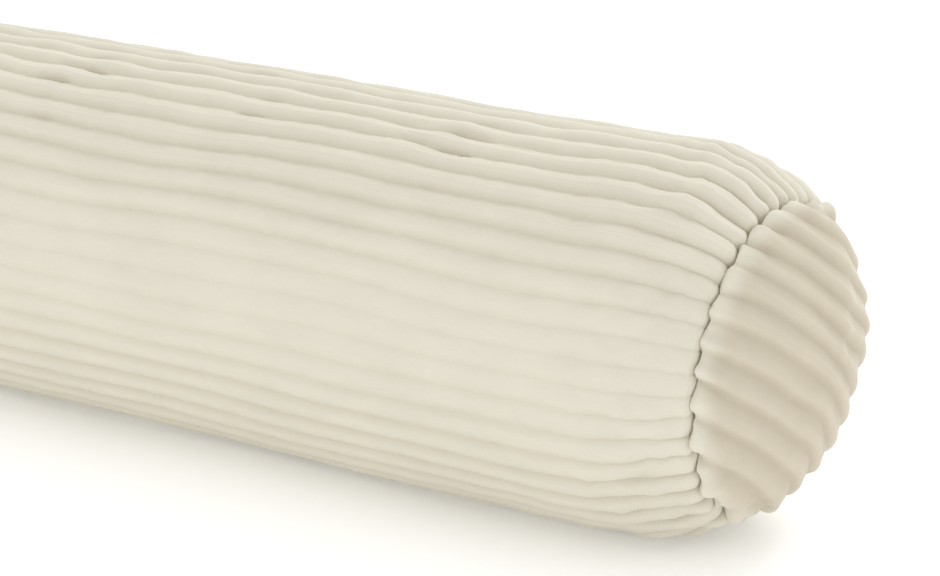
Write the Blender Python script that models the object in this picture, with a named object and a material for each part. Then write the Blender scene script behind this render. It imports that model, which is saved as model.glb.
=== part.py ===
"""Bolster pillow: a corduroy cover with a zip, over a sewn casing filled with fibre.

The pillow lies along X on the plane z = 0, with its middle over the origin. Soft layers are turned
shells around one axis, flattened underneath where they rest, and the inner layers are flattened again
behind the zip. The zip is modelled in a frame of its own, whose local Z points out of the pillow.
"""

from math import asin, cos, pi, radians, sin, sqrt

import bmesh
import bpy
from mathutils import Matrix, Vector

# Cover
LENGTH = 0.800            # over both domed ends
RADIUS = 0.100            # outside of the tube
COVER_WALL = 0.0028       # corduroy with its pile
SEAM_INSET = 0.0195       # how far the end seams are gathered in from the tube's radius
SHOULDER = 0.080          # length over which the tube closes in to an end seam
DOME = 0.038              # height of an end beyond its seam
ALLOWANCE = 0.010         # width of the end seams' turned-in edges
REST_WIDTH = 0.062        # flat strip that the pillow rests on
SHOULDER_POWER = 3.2      # above 2 keeps the shoulder full and folds it late
DOME_POWER = 1.8          # 2 is an ellipse, more is squarer
FLANGE_BEND = 1.4         # walls between a seam and where the inside turns down to its flange
FLANGE_DROP = 0.4         # walls that the corner there lies below the seam

# Inner pillow
CASING_WALL = 0.0008
CASING_ALLOWANCE = 0.006

# Zip
ZIP_ANGLE = radians(20)   # height of the zip above the middle of the back
ZIP_MARGIN = 0.115        # from an end seam to the end of the slit
TAPE_WIDTH = 0.014
TAPE_THICK = 0.0005
TAPE_TAIL = 0.015         # tape beyond each end of the slit
TEETH_WIDTH = 0.0026      # one side's coil
TEETH_HEIGHT = 0.0022
TEETH_SPLIT = 0.0012      # gap between the two sides, for the slider's bridge
STOP_LENGTH = 0.003
STOP_GAP = 0.002          # from a stop to the end of the slit
SLIDER_LENGTH = 0.011
SLIDER_PLATE = 0.0008
SLIDER_NOSE = 0.0005      # how much wider the slider is at its front than at its tail, each side
SLIDER_WAIST = 0.5        # where it is widest, as a share of its half length
SLIDER_TIP = 0.8          # its front edge's width, as a share of its widest
JOIN_STEP = 0.0001        # keeps the faces of joined blocks out of one plane
BRIDGE_LENGTH = 0.0025
CROWN_LENGTH = 0.007
CROWN_WIDTH = 0.0018
CROWN_THICK = 0.0009
CROWN_HEIGHT = 0.0032
CROWN_POWER = 0.6         # below 1 squares the hoop's corners
PULL_LENGTH = 0.028
PULL_WIDTH = 0.0076
PULL_THICK = 0.0011
PULL_NECK = 0.0055        # its width at the hinge
WINDOW_LENGTH = 0.0042
TEETH_EDGE = 0.0005       # rounding of the teeth, the stops and the pull
STOP_EDGE = 0.0004
PULL_EDGE = 0.0002

# Thread
THREAD_THICK = 0.0004
SEAM_THREAD_RADIUS = 0.00025

# Clearances
GAP = 0.0003              # between layers that touch
CASING_GAP = 0.0008       # casing inside the cover
FILL_GAP = 0.0010         # filling inside its casing
TAPE_GAP = 0.0005         # tape under the cover
RUN_GAP = 0.0004          # slider around tape and teeth
SLIT_ROOM = 0.0007        # slider between the edges of the slit

SEGMENTS = 48
DOME_STEPS = 6
SHOULDER_STEPS = 8
CROWN_STEPS = 8

# Worked out from the above
HALF_LENGTH = LENGTH / 2
SEAM_X = HALF_LENGTH - DOME
SEAM_RADIUS = RADIUS - SEAM_INSET
AXIS_HEIGHT = sqrt(RADIUS**2 - (REST_WIDTH / 2) ** 2)
COVER_INSIDE = RADIUS - COVER_WALL

TAPE_TOP = COVER_INSIDE - TAPE_GAP
TAPE_BOTTOM = TAPE_TOP - TAPE_THICK
TEETH_BASE = TAPE_TOP + GAP
TEETH_TOP = TEETH_BASE + TEETH_HEIGHT
TEETH_INNER = TEETH_SPLIT / 2
TEETH_OUTER = TEETH_INNER + TEETH_WIDTH
PLATE_BASE = TEETH_TOP + GAP
PLATE_TOP = PLATE_BASE + SLIDER_PLATE
SOLE_TOP = TAPE_BOTTOM - RUN_GAP
SOLE_BOTTOM = SOLE_TOP - SLIDER_PLATE
PIN_HEIGHT = PLATE_TOP + (CROWN_HEIGHT - CROWN_THICK) / 2
SLIDER_SIDE = TEETH_OUTER + GAP
SLIDER_HALF = SLIDER_SIDE + SLIDER_PLATE + SLIDER_NOSE
SLIT_HALF_WIDTH = SLIDER_HALF + SLIT_ROOM
SLIT_HALF = SEAM_X - ZIP_MARGIN
CHAIN_HALF = SLIT_HALF - STOP_GAP - STOP_LENGTH - GAP
SLIDER_REST = CHAIN_HALF - SLIDER_LENGTH / 2

CASING_RADIUS = COVER_INSIDE - CASING_GAP
CASING_FLAT = SOLE_BOTTOM - RUN_GAP
CASING_SEAM_RADIUS = SEAM_RADIUS - ALLOWANCE - THREAD_THICK - 2 * GAP
CASING_SEAM_X = SEAM_X - GAP / 2 - COVER_WALL - 2 * GAP
CASING_TIP = HALF_LENGTH - COVER_WALL - CASING_GAP
FILL_RADIUS = CASING_RADIUS - CASING_WALL - FILL_GAP
FILL_FLAT = CASING_FLAT - CASING_WALL - FILL_GAP
FILL_SEAM_RADIUS = CASING_SEAM_RADIUS - CASING_ALLOWANCE - THREAD_THICK - GAP - FILL_GAP
FILL_TIP = CASING_TIP - CASING_WALL - FILL_GAP

CORDUROY = ("cream_corduroy", (0.72, 0.68, 0.58), 0.95, 0.0)
COTTON = ("white_cotton", (0.80, 0.79, 0.75), 0.90, 0.0)
FIBRE = ("white_fibre", (0.88, 0.88, 0.86), 1.00, 0.0)
THREAD = ("cream_thread", (0.70, 0.65, 0.54), 0.70, 0.0)
TAPE = ("cream_tape", (0.66, 0.61, 0.50), 0.85, 0.0)
TEETH = ("cream_polyester", (0.68, 0.63, 0.52), 0.40, 0.0)
NICKEL = ("satin_nickel", (0.66, 0.65, 0.62), 0.30, 1.0)


# ---------------------------------------------------------------- tools

def clear_scene():
    for obj in list(bpy.data.objects):
        bpy.data.objects.remove(obj)


def material(finish):
    name, colour, roughness, metallic = finish
    made = bpy.data.materials.get(name)
    if made is None:
        made = bpy.data.materials.new(name)
        made.use_nodes = True
        shader = made.node_tree.nodes["Principled BSDF"]
        shader.inputs["Base Color"].default_value = (*colour, 1.0)
        shader.inputs["Roughness"].default_value = roughness
        shader.inputs["Metallic"].default_value = metallic
    return made


def new_object(name, bm, finish, parent=None, smooth=True):
    """A mesh object from a bmesh, with its faces turned outwards."""
    bmesh.ops.recalc_face_normals(bm, faces=bm.faces)
    mesh = bpy.data.meshes.new(name)
    bm.to_mesh(mesh)
    bm.free()
    mesh.materials.append(material(finish))
    if smooth:
        mesh.shade_smooth()
        mesh.set_sharp_from_angle(angle=radians(35))
    obj = bpy.data.objects.new(name, mesh)
    bpy.context.collection.objects.link(obj)
    obj.parent = parent
    return obj


def boolean(obj, other, operation):
    """Adds or takes away another object, which stays in the scene as a hidden helper."""
    other.hide_render = True
    other.display_type = "WIRE"
    modifier = obj.modifiers.new(other.name, "BOOLEAN")
    modifier.operation = operation
    modifier.object = other
    modifier.solver = "EXACT"


def bevel(obj, width):
    modifier = obj.modifiers.new("soft edges", "BEVEL")
    modifier.width = width
    modifier.segments = 2
    modifier.limit_method = "ANGLE"
    modifier.angle_limit = radians(40)


# ---------------------------------------------------------------- turned layers

def level(point, normal, distance):
    """The point, pressed back onto the plane at a distance along a normal where it lies beyond it."""
    over = point.dot(normal) - distance
    return point - normal * over if over > 0 else point


def ring(x, radius, flats):
    """Points around the axis at x, pressed flat on each of the planes (normal, distance)."""
    points = []
    for step in range(SEGMENTS):
        angle = 2 * pi * step / SEGMENTS
        point = Vector((x, radius * cos(angle), radius * sin(angle)))
        for normal, distance in flats:
            point = level(point, normal, distance)
        points.append(point + Vector((0, 0, AXIS_HEIGHT)))
    return points


def turned(name, stations, finish, closed):
    """A profile carried round the axis. A station is (x, radius, flats), and radius 0 is a pole."""
    bm = bmesh.new()
    rings = []
    for x, radius, flats in stations:
        if radius < 1e-9:
            rings.append([bm.verts.new((x, 0, AXIS_HEIGHT))])
        else:
            rings.append([bm.verts.new(p) for p in ring(x, radius, flats)])
    pairs = list(zip(rings, rings[1:]))
    if closed:
        pairs.append((rings[-1], rings[0]))
    for first, second in pairs:
        for i in range(SEGMENTS):
            j = (i + 1) % SEGMENTS
            if len(first) == 1:
                bm.faces.new((first[0], second[i], second[j]))
            elif len(second) == 1:
                bm.faces.new((first[i], second[0], first[j]))
            else:
                bm.faces.new((first[i], second[i], second[j], first[j]))
    return new_object(name, bm, finish)


def shoulder(radius, seam_radius, seam_x, wall):
    """Points (x, radius) from the straight tube to its seam: the drop grows with a power of the way."""
    points = []
    for step in range(SHOULDER_STEPS + 1):
        share = sin(step / SHOULDER_STEPS * pi / 2)
        drop = radius - seam_radius
        slope = drop * SHOULDER_POWER * share ** (SHOULDER_POWER - 1) / SHOULDER
        inward = wall * sqrt(1 + slope**2)
        points.append((seam_x - SHOULDER * (1 - share), radius - drop * share**SHOULDER_POWER - inward))
    return points


def dome(base_x, tip_x, radius):
    """Points (x, radius) of a rounded end, a quarter of a squared ellipse from its rim to its tip."""
    points = []
    for step in range(DOME_STEPS + 1):
        angle = step / DOME_STEPS * pi / 2
        x = base_x + (tip_x - base_x) * sin(angle) ** (2 / DOME_POWER)
        points.append((x, radius * max(cos(angle), 0) ** (2 / DOME_POWER) if step < DOME_STEPS else 0.0))
    return points


def mirrored(points):
    """The same points at the other end, in the opposite order."""
    return [(-x, r) for x, r in reversed(points)]


def rest_flat(radius):
    """The plane underneath, as deep as the layer of this radius needs."""
    return (Vector((0, 0, -1)), AXIS_HEIGHT - (RADIUS - radius))


def zip_flat(distance):
    return (Vector((0, cos(ZIP_ANGLE), sin(ZIP_ANGLE))), distance)


def tube_shell(name, sizes, wall, allowance, outer_flats, inner_flats, finish):
    """An open tube whose ends close in to a seam and turn inwards there as a flange. Its sizes are its
    radius, and the radius and place of its seam."""
    radius, seam_radius, seam_x = sizes
    outside = shoulder(radius, seam_radius, seam_x, 0)
    bend = seam_x - FLANGE_BEND * wall
    inside = [(x, r) for x, r in shoulder(radius, seam_radius, seam_x, wall) if x < bend]
    edge = seam_radius - allowance
    corner = (seam_x - wall, max(seam_radius - FLANGE_DROP * wall, edge + wall))
    flange = [(seam_x, edge), (seam_x - wall, edge), corner]
    lining = flange + inside[::-1]
    stations = [(x, r, outer_flats) for x, r in mirrored(outside) + outside]
    stations += [(x, r, inner_flats) for x, r in lining + mirrored(lining)]
    return turned(name, stations, finish, closed=True)


def end_shell(name, side, base_x, tip_x, radius, wall, allowance, finish):
    """A domed end with a flange turned in at its seam."""
    outside = dome(base_x, tip_x, radius)
    inside = dome(base_x + wall, tip_x - wall, radius - wall)
    flange = [(base_x + wall, radius - allowance), (base_x, radius - allowance)]
    profile = list(reversed(inside)) + flange + outside
    return turned(name, [(side * x, r, ()) for x, r in profile], finish, closed=False)


def thread_band(name, x, radius, width, finish):
    """The overlock thread round the edges of two flanges: a thin hoop, square in section."""
    section = [
        (x - width / 2, radius),
        (x + width / 2, radius),
        (x + width / 2, radius - THREAD_THICK),
        (x - width / 2, radius - THREAD_THICK),
    ]
    return turned(name, [(a, r, ()) for a, r in section], finish, closed=True)


# ---------------------------------------------------------------- zip, in its own frame

def block(name, low, high, finish, parent):
    """A box between two corners."""
    bm = bmesh.new()
    bmesh.ops.create_cube(bm, size=1.0)
    size = Vector(high) - Vector(low)
    middle = (Vector(high) + Vector(low)) / 2
    bmesh.ops.transform(bm, matrix=Matrix.Translation(middle) @ Matrix.Diagonal((*size, 1)), verts=bm.verts)
    return new_object(name, bm, finish, parent, smooth=False)


def plate(name, outline, low, high, finish, parent):
    """A flat outline in X and Y, extruded from one height to another."""
    bm = bmesh.new()
    face = bm.faces.new([bm.verts.new((x, y, low)) for x, y in outline])
    raised = bmesh.ops.extrude_face_region(bm, geom=[face])["geom"]
    top = [v for v in raised if isinstance(v, bmesh.types.BMVert)]
    bmesh.ops.translate(bm, vec=(0, 0, high - low), verts=top)
    return new_object(name, bm, finish, parent, smooth=False)


def tape(name, side, parent):
    """One tape: a thin strip that follows the cover's curve."""
    steps = 5
    bm = bmesh.new()
    half = SLIT_HALF + TAPE_TAIL
    section = []
    for radius, order in ((TAPE_TOP, range(steps + 1)), (TAPE_BOTTOM, range(steps, -1, -1))):
        for step in order:
            angle = asin((TEETH_INNER + TAPE_WIDTH * step / steps) / radius)
            section.append((side * radius * sin(angle), radius * cos(angle)))
    ends = [[bm.verts.new((x, y, z)) for y, z in section] for x in (-half, half)]
    for i in range(len(section)):
        j = (i + 1) % len(section)
        bm.faces.new((ends[0][i], ends[1][i], ends[1][j], ends[0][j]))
    bm.faces.new(ends[0])
    bm.faces.new(list(reversed(ends[1])))
    return new_object(name, bm, TAPE, parent)


def teeth(name, side, parent):
    """One side's coil, as the bar that its turns fill."""
    low, high = sorted((side * TEETH_INNER, side * TEETH_OUTER))
    obj = block(name, (-CHAIN_HALF, low, TEETH_BASE), (CHAIN_HALF, high, TEETH_TOP), TEETH, parent)
    bevel(obj, TEETH_EDGE)
    return obj


def stop(name, x, low, high, parent):
    """A pressed metal stop just beyond the end of the teeth."""
    obj = block(name, (x, low, TEETH_BASE), (x + STOP_LENGTH, high, TEETH_TOP), NICKEL, parent)
    bevel(obj, STOP_EDGE)
    return obj


def slider(parent):
    """Two plates joined by a bridge at the front, with sides over the teeth and a crown for the pull."""
    half = SLIDER_LENGTH / 2
    waist = half * SLIDER_WAIST
    nose = SLIDER_HALF
    tail = nose - SLIDER_NOSE
    tip = nose * SLIDER_TIP
    shape = [(-half, -tail), (waist, -nose), (half, -tip), (half, tip), (waist, nose), (-half, tail)]
    body = plate("zip_slider", shape, PLATE_BASE, PLATE_TOP, NICKEL, parent)
    sole = plate("slider sole", shape, SOLE_BOTTOM, SOLE_TOP, NICKEL, parent)
    under_plate = PLATE_BASE + SLIDER_PLATE / 2
    bridge = block("slider bridge", (half - BRIDGE_LENGTH, GAP - TEETH_INNER, SOLE_TOP - SLIDER_PLATE / 2),
                   (half - JOIN_STEP, TEETH_INNER - GAP, under_plate), NICKEL, parent)
    skirts = []
    for word, side in (("a", 1), ("b", -1)):
        inner, outer = sorted((side * SLIDER_SIDE, side * (tail - JOIN_STEP)))
        skirts.append(block("slider side " + word, (JOIN_STEP - half, inner, TAPE_TOP + RUN_GAP),
                            (waist, outer, under_plate), NICKEL, parent))
    for part in (bridge, sole, *skirts, crown(parent)):
        boolean(body, part, "UNION")
    return body


def hoop(length, foot, height):
    """Points (x, z) of half a hoop standing on its foot, squared at its corners."""
    points = [(length / 2, foot)]
    for step in range(1, CROWN_STEPS):
        angle = pi * step / CROWN_STEPS
        points.append((length / 2 * cos(angle), foot + height * sin(angle) ** CROWN_POWER))
    return points + [(-length / 2, foot)]


def crown(parent):
    """The loop on the slider: a flat half hoop along X, standing on the top plate."""
    foot = PLATE_TOP - SLIDER_PLATE / 2
    rise = CROWN_HEIGHT + SLIDER_PLATE / 2
    outer = hoop(CROWN_LENGTH, foot, rise)
    inner = hoop(CROWN_LENGTH - 2 * CROWN_THICK, foot, rise - CROWN_THICK)
    bm = bmesh.new()
    near_outer, near_inner, far_outer, far_inner = (
        [bm.verts.new((x, y, z)) for x, z in line]
        for y in (-CROWN_WIDTH / 2, CROWN_WIDTH / 2) for line in (outer, inner))
    walls = ((near_outer, near_inner), (far_outer, near_outer), (far_inner, far_outer), (near_inner, far_inner))
    for i in range(CROWN_STEPS):
        for a, b in walls:
            bm.faces.new((a[i], a[i + 1], b[i + 1], b[i]))
    for i in (0, CROWN_STEPS):
        bm.faces.new((near_outer[i], near_inner[i], far_inner[i], far_outer[i]))
    return new_object("slider crown", bm, NICKEL, parent)


def pull(parent):
    """A flat tab with a window at one end, whose cross bar passes under the crown on the hinge axis."""
    bar = PULL_THICK / 2
    straight = PULL_LENGTH - PULL_WIDTH / 2
    outline = [(bar, -PULL_NECK / 2), (bar, PULL_NECK / 2), (-WINDOW_LENGTH, PULL_WIDTH / 2)]
    steps = 8
    for step in range(steps + 1):
        angle = pi / 2 + pi * step / steps
        outline.append((-straight + PULL_WIDTH / 2 * cos(angle), PULL_WIDTH / 2 * sin(angle)))
    outline.append((-WINDOW_LENGTH, -PULL_WIDTH / 2))
    tab = plate("zip_pull", outline, -PULL_THICK / 2, PULL_THICK / 2, NICKEL, parent)
    room = CROWN_WIDTH / 2 + RUN_GAP
    window = block("pull window", (-bar - WINDOW_LENGTH, -room, -PULL_THICK), (-bar, room, PULL_THICK),
                   NICKEL, parent)
    boolean(tab, window, "DIFFERENCE")
    bevel(tab, PULL_EDGE)
    return tab


def seam_thread(name, side, parent):
    """The lockstitch that closes the cover's long seam between the zip and an end seam."""
    near = SLIT_HALF + TAPE_TAIL + GAP
    far = SEAM_X - SHOULDER
    bm = bmesh.new()
    bmesh.ops.create_cone(bm, cap_ends=True, segments=8, radius1=SEAM_THREAD_RADIUS,
                          radius2=SEAM_THREAD_RADIUS, depth=far - near)
    turn = Matrix.Rotation(pi / 2, 4, "Y")
    place = Matrix.Translation((side * (near + far) / 2, 0, TAPE_TOP - SEAM_THREAD_RADIUS))
    bmesh.ops.transform(bm, matrix=place @ turn, verts=bm.verts)
    return new_object(name, bm, THREAD, parent)


# ---------------------------------------------------------------- the pillow

def cover():
    flats = (rest_flat(RADIUS),)
    inner_flats = (rest_flat(COVER_INSIDE),)
    tube = tube_shell("cover_tube", (RADIUS, SEAM_RADIUS, SEAM_X - GAP / 2), COVER_WALL, ALLOWANCE,
                      flats, inner_flats, CORDUROY)
    for word, side in (("right", 1), ("left", -1)):
        end_shell("cover_end_" + word, side, SEAM_X + GAP / 2, HALF_LENGTH, SEAM_RADIUS, COVER_WALL,
                  ALLOWANCE, CORDUROY)
        thread_band("end_seam_thread_" + word, side * SEAM_X, SEAM_RADIUS - ALLOWANCE - GAP,
                    2 * COVER_WALL + GAP, THREAD)
    return tube


def inner_pillow():
    outer_flats = (rest_flat(CASING_RADIUS), zip_flat(CASING_FLAT))
    inner_flats = (rest_flat(CASING_RADIUS - CASING_WALL), zip_flat(CASING_FLAT - CASING_WALL))
    tube_shell("casing_tube", (CASING_RADIUS, CASING_SEAM_RADIUS, CASING_SEAM_X - GAP / 2), CASING_WALL,
               CASING_ALLOWANCE, outer_flats, inner_flats, COTTON)
    for word, side in (("right", 1), ("left", -1)):
        end_shell("casing_end_" + word, side, CASING_SEAM_X + GAP / 2, CASING_TIP, CASING_SEAM_RADIUS,
                  CASING_WALL, CASING_ALLOWANCE, COTTON)
        thread_band("casing_thread_" + word, side * CASING_SEAM_X, CASING_SEAM_RADIUS - CASING_ALLOWANCE - GAP,
                    2 * CASING_WALL + GAP, THREAD)
    seam_x = CASING_SEAM_X - CASING_WALL - GAP - FILL_GAP
    belly = shoulder(FILL_RADIUS, FILL_SEAM_RADIUS, seam_x, 0)
    tip = dome(CASING_SEAM_X + CASING_WALL + GAP + FILL_GAP, FILL_TIP, FILL_SEAM_RADIUS)
    half = belly + tip
    flats = (rest_flat(FILL_RADIUS), zip_flat(FILL_FLAT))
    turned("fibre_fill", [(x, r, flats) for x, r in mirrored(half) + half], FIBRE, closed=False)


def zip_frame():
    """An empty on the pillow's axis, turned so that its local Z points out through the zip."""
    empty = bpy.data.objects.new("zip frame", None)
    bpy.context.collection.objects.link(empty)
    empty.location = (0, 0, AXIS_HEIGHT)
    empty.rotation_euler = (ZIP_ANGLE - pi / 2, 0, 0)
    return empty


def zipper(tube):
    frame = zip_frame()
    slit = block("slit", (-SLIT_HALF, -SLIT_HALF_WIDTH, TAPE_BOTTOM), (SLIT_HALF, SLIT_HALF_WIDTH, 2 * RADIUS),
                 CORDUROY, frame)
    boolean(tube, slit, "DIFFERENCE")
    for word, side in (("upper", -1), ("lower", 1)):
        tape("zip_tape_" + word, side, frame)
        teeth("zip_teeth_" + word, side, frame)
        low, high = sorted((side * TEETH_INNER, side * TEETH_OUTER))
        stop("zip_top_stop_" + word, CHAIN_HALF + GAP, low, high, frame)
    stop("zip_bottom_stop", -CHAIN_HALF - GAP - STOP_LENGTH, -TEETH_OUTER, TEETH_OUTER, frame)
    for word, side in (("right", 1), ("left", -1)):
        seam_thread("long_seam_thread_" + word, side, frame)

    carriage = bpy.data.objects.new("slider place", None)
    bpy.context.collection.objects.link(carriage)
    carriage.parent = frame
    carriage.location = (SLIDER_REST, 0, 0)
    slider(carriage)
    hinge = bpy.data.objects.new("pull hinge", None)
    bpy.context.collection.objects.link(hinge)
    hinge.parent = carriage
    hinge.location = (0, 0, PIN_HEIGHT)
    pull(hinge)


clear_scene()
zipper(cover())
inner_pillow()
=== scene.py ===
from math import cos, pi, radians, sin, sqrt

import bmesh
import bpy
import numpy as np
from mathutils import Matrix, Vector


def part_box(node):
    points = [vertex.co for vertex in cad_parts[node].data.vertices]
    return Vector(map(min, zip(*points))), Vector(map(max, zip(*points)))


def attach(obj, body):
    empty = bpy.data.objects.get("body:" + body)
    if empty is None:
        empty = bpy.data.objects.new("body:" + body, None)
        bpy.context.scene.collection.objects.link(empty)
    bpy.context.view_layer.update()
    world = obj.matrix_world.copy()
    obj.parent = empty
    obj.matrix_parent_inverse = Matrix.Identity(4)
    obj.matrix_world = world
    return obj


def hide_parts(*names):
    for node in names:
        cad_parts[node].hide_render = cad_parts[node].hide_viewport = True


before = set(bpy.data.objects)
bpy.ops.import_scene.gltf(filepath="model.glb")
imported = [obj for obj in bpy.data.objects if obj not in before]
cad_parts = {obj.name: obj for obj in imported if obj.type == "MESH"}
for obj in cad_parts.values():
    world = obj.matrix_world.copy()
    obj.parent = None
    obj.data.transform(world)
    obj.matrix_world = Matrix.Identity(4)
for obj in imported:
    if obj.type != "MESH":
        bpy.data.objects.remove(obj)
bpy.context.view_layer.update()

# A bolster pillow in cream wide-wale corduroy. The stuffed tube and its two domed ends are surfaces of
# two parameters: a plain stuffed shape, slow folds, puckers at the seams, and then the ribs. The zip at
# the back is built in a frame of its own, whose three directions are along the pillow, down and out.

# ---------------------------------------------------------------- sizes, from the frame

TUBE_LOW, TUBE_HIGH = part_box("cover_tube")
END_LOW, END_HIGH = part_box("cover_end_right")
RADIUS = (TUBE_HIGH.y - TUBE_LOW.y) / 2
AXIS_Z = TUBE_HIGH.z - RADIUS
SEAM_X = (TUBE_HIGH.x + END_LOW.x) / 2
SEAM_RADIUS = (END_HIGH.z - END_LOW.z) / 2
TIP_X = END_HIGH.x
DOME = TIP_X - SEAM_X

SEAM_SLACK = 0.0002       # left between the tube and an end
SEAM_LEAN = 0.03          # how much further out the end seams lie at the upper back, per metre
FLOOR_EDGE = 0.0012       # how softly the tube flattens on the floor

SHOULDER = 0.080          # length of tube that narrows to a seam
SHOULDER_POWER = 3.2      # how late it narrows
TOP_FULLNESS = 0.9        # how much later on top
SHOULDER_FOLDS = (        # distance from the seam, angle round it, depth, half widths along and around
    (0.012, 113, 0.0034, 0.009, 7),
    (0.013, 80, 0.0030, 0.012, 4),
    (0.020, 140, 0.0020, 0.012, 6),
    (0.018, 205, 0.0018, 0.012, 5),
    (0.020, 262, 0.0025, 0.012, 6),
    (0.016, 300, 0.0025, 0.012, 6),
)

RIBS = 45                 # round the tube
RIB_PITCH = 2 * pi * RADIUS / RIBS
RIB_HEIGHT = 0.0028
RIB_STEPS = 12            # points across one
TUBE_STEPS = 205          # stations along the straight part of the tube
SHOULDER_STEPS = 52
END_ROWS, END_COLUMNS = 160, 720
RIB_ROUNDING = 0.62       # power of its hump: the smaller, the narrower the valleys
SEAM_ROUNDING = 0.25      # taken off that power at a seam
OWN_DEPTH_SEED = 21

FRONT, FRONT_WIDTH = radians(170), radians(24)              # where the front is stretched tight
FRONT_TAUT = 0.6                                            # how much flatter the ribs are there
SEAM_FRONT, SEAM_FRONT_WIDTH = radians(160), radians(34)    # the same by the seams
SEAM_TAUT = 0.5
SEAM_TAUT_REACH = (0.055, 0.008)
DRAWN_DEEPER = (0.1, 0.7)  # how much deeper ribs get at a seam: all of them, and some more than others
GAP_DEPTH = 1.1
GAP_HEIGHT = (0.5, 0.95)  # sines of the angles between which gaps open among the top ribs

TUBE_TUCK = (0.5, 0.8, 0.0018)    # how deep the tube turns in at a seam: least, rest, both times this
TUBE_CREASE = (0.6, 0.9, 0.0022)  # how far from the seam it starts to
END_TUCK = (0.45, 0.9, 0.0024)
END_CREASE = (0.8, 0.5, 0.0030)

DOME_POWER = 1.7          # 2 would be an ellipse, and more is boxier
END_PITCH = 0.0143
END_SHIFT = 0.22          # where the ribs lie, in pitches
END_ROUNDING = 0.75
RIB_SLOPE = radians(39)   # the ends' ribs fall towards the back by this much
RIB_LEAN = 0.08           # how far the ends' crests lie towards the valley below them, in pitches
RIM = 0.022               # width of the gathered edge
# painted light: how far from the seam the end's painted shade gives way to the tube's lighter colours
PAINTED_LIT_STRIP = (0.015, 0.004)
CALM_PLACE = (-0.035, 0.040)      # where an end's ribs are faintest, across and up
CALM_WIDTH = 0.03

PUCKER = 0.0022           # most that the blown cover's bulges may move the cloth
BLOWN_SHARE = (0.15, 0.55)        # how much of them the tube takes, along it and more at its seams
BLOWN_END_SHARE = 0.8
BLOW_FRAMES = 20
BLOW_PRESSURE = 2.2
BLOW_SLACK = 0.035        # how much longer the cloth is than the shape it starts from
BLOW_STIFFNESS = 0.3
BLOW_QUALITY = 6

CASING_INSET = 0.0110
FILLING_INSET = 0.0135
INSIDE_ROWS, INSIDE_END_ROWS, INSIDE_COLUMNS = 150, 36, 160

# Waves: how high, how many are summed, their lengths along in metres, how many go round, and a seed.
# Those that only go round an end may have any length.
ANY = (9, 10)
WAVES = {
    "slow wander": (0.14, 12, (0.12, 0.5), (1, 7), 1),
    "fine wander": (0.012, 16, (0.008, 0.02), (15, 45), 6),
    "bulge": (0.0004, 10, (0.14, 0.4), (1, 4), 2),
    "lumps": (0.0001, 24, (0.03, 0.09), (6, 20), 3),
    "crumple": (0.0016, 14, (0.018, 0.05), (8, 26), 8),
    "gaps": (1.0, 20, (0.04, 0.13), (28, 50), 5),
    "rib depth": (0.05, 14, (0.007, 0.03), (20, 60), 7),
    "end rise": (0.0010, 8, ANY, (2, 6), 12),
    "end edge": (0.0006, 12, ANY, (5, 18), 13),
    "end tufts": (0.0012, 6, ANY, (26, 40), 14),
    "end crumple": (0.0016, 10, (0.02, 0.05), (14, 30), 16),
    "end crease": (1.0, 5, ANY, (20, 45), 15),
    "end tuck": (1.0, 5, ANY, (5, 24), 17),
    "slack cloth": (0.0010, 30, (0.03, 0.14), (6, 26), 5),
    "casing": (0.0002, 20, (0.03, 0.12), (4, 20), 31),
    "casing end": (0.0003, 12, ANY, (3, 12), 32),
    "filling": (0.0006, 20, (0.03, 0.12), (4, 20), 33),
}

ZIP_ANGLE = radians(20)   # above the middle of the back
OUT = np.array((0.0, cos(ZIP_ANGLE), sin(ZIP_ANGLE)))
DOWN = np.array((0.0, sin(ZIP_ANGLE), -cos(ZIP_ANGLE)))
OPENING = 0.0055          # half the width of the gap that the zip shows through
OPENING_HALF = 0.247      # half its length
OPENING_CORNER = 0.0004   # half the length over which the gap ends
ZIP_FLOOR = 0.0943        # how far from the axis the channel under the zip lies
LIP_HEIGHT = 0.85         # of the folded edges beside the zip, in rib heights
FOLD_HEIGHT = 0.9         # of the two folds past the zip
FOLD_GROOVE = (0.06, 1.1)         # half width in ribs and depth in rib heights
LOOSE_FROM_ZIP = (0.8, 2.2)       # ribs from the zip between which the cloth comes loose
COIL_PITCH = 0.0016
COIL_STEPS = 10           # round one turn
COIL_SIDES = 6
COIL_WIRE = 0.00056
COIL_HEAD = 0.00025       # how far past the middle a turn's wire reaches
COIL_FLATNESS = 0.7       # power that flattens its turns
COIL_SWELLING = 0.25      # how much thicker the wire is at its heads
STITCH_PITCH = 0.0034
STITCH_LENGTH = 0.8       # of a pitch
STITCH_THICK = 0.0005
STITCH_RINGS, STITCH_SIDES = 6, 6
TACK_THREADS = 22
TACK_LENGTH = 0.0022

TUBE_CREST = (0.685, 0.650, 0.548, 1)
# painted shade: the colour that the ribs' valleys are darkened to
TUBE_SHADED_VALLEY = (0.625, 0.585, 0.480, 1)
# painted shade: the ends' darker, warmer copy of the tube's colours, as they face away from the key light
SHADED_END_CREST = (0.600, 0.543, 0.436, 1)
SHADED_END_VALLEY = (0.520, 0.466, 0.366, 1)
COTTON, COTTON_GAP = (0.86, 0.84, 0.79, 1), (0.66, 0.64, 0.58, 1)
COTTON_THREADS = 1400     # to a metre
TAPE, TAPE_GAP = (0.80, 0.76, 0.65, 1), (0.60, 0.56, 0.46, 1)
TAPE_THREADS = 1800
THREAD_DARK, THREAD_LIGHT = (0.60, 0.55, 0.44, 1), (0.80, 0.76, 0.65, 1)
FIBRE_DARK, FIBRE_LIGHT = (0.74, 0.74, 0.73, 1), (0.92, 0.92, 0.91, 1)
NICKEL, NICKEL_WORN = (0.72, 0.71, 0.69, 1), (0.56, 0.55, 0.53, 1)
NYLON, NYLON_WORN = (0.78, 0.74, 0.63, 1), (0.72, 0.68, 0.56, 1)
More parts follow.
